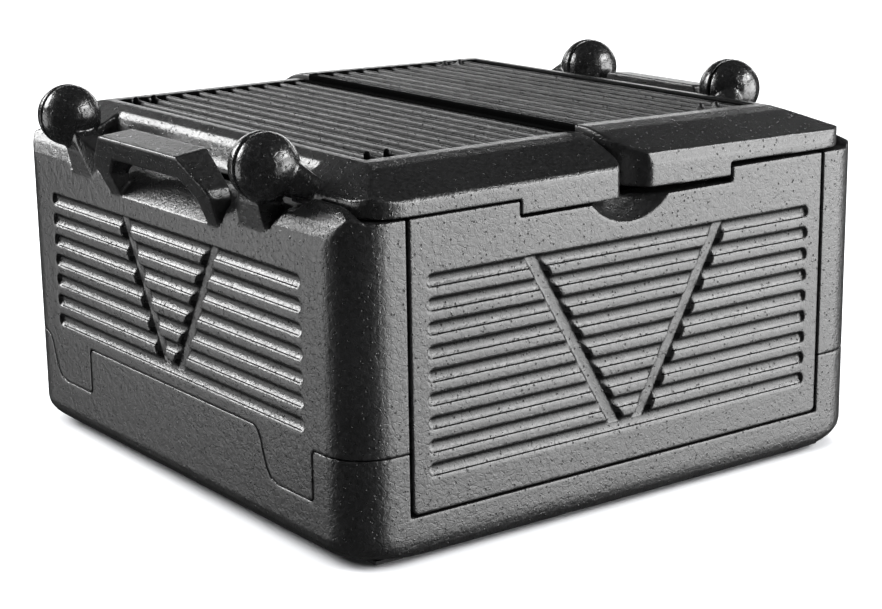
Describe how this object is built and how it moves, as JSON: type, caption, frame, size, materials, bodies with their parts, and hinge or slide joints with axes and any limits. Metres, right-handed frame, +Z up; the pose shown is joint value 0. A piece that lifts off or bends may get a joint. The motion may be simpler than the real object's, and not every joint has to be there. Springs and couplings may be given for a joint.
{
  "type": "insulated food carrier",
  "caption": "Square folding insulated box in black bead foam, with ribbed sides, arched carrying handles and a split lid that opens outwards on ball-shaped hinges.",
  "frame": {"origin": "on the floor, at the middle of the carrier's footprint", "axes": "+Z up, -Y out of the front end panel, -X out of the left side wall, whose hinge knuckles stand further apart"},
  "size_m": [0.44, 0.4, 0.2412],
  "materials": {
    "foam": "moulded black bead foam, leathery skin with fine pits, satin",
    "pin": "moulded black plastic, satin",
    "rubber": "matt black rubber"
  },
  "bodies": {
    "body": {"base_tray": "foam", "left_side_wall": "foam", "right_side_wall": "foam", "lid_pin_front_left": "pin", "lid_pin_back_left": "pin", "lid_pin_front_right": "pin", "lid_pin_back_right": "pin", "panel_pin_front_left": "pin", "panel_pin_back_left": "pin", "panel_pin_front_right": "pin", "panel_pin_back_right": "pin", "wall_pin_front_left": "pin", "wall_pin_back_left": "pin", "wall_pin_front_right": "pin", "wall_pin_back_right": "pin", "foot_front_left": "rubber", "foot_back_left": "rubber", "foot_front_right": "rubber", "foot_back_right": "rubber"},
    "front_panel": {"front_end_panel": "foam"},
    "back_panel": {"back_end_panel": "foam"},
    "left_lid": {"left_lid_half": "foam"},
    "right_lid": {"right_lid_half": "foam"}
  },
  "joints": [
    {"name": "left_lid_open", "type": "hinge", "parent": "body", "child": "left_lid", "pos_m": [-0.2, 0, 0.2212], "axis": [0, -1, 0], "range_deg": [0, 262]},
    {"name": "right_lid_open", "type": "hinge", "parent": "body", "child": "right_lid", "pos_m": [0.2, 0, 0.2212], "axis": [0, 1, 0], "range_deg": [0, 262]},
    {"name": "front_panel_fold", "type": "hinge", "parent": "body", "child": "front_panel", "pos_m": [0, -0.1875, 0.0418], "axis": [-1, 0, 0], "range_deg": [0, 90]},
    {"name": "back_panel_fold", "type": "hinge", "parent": "body", "child": "back_panel", "pos_m": [0, 0.1875, 0.0418], "axis": [1, 0, 0], "range_deg": [0, 90]}
  ]
}
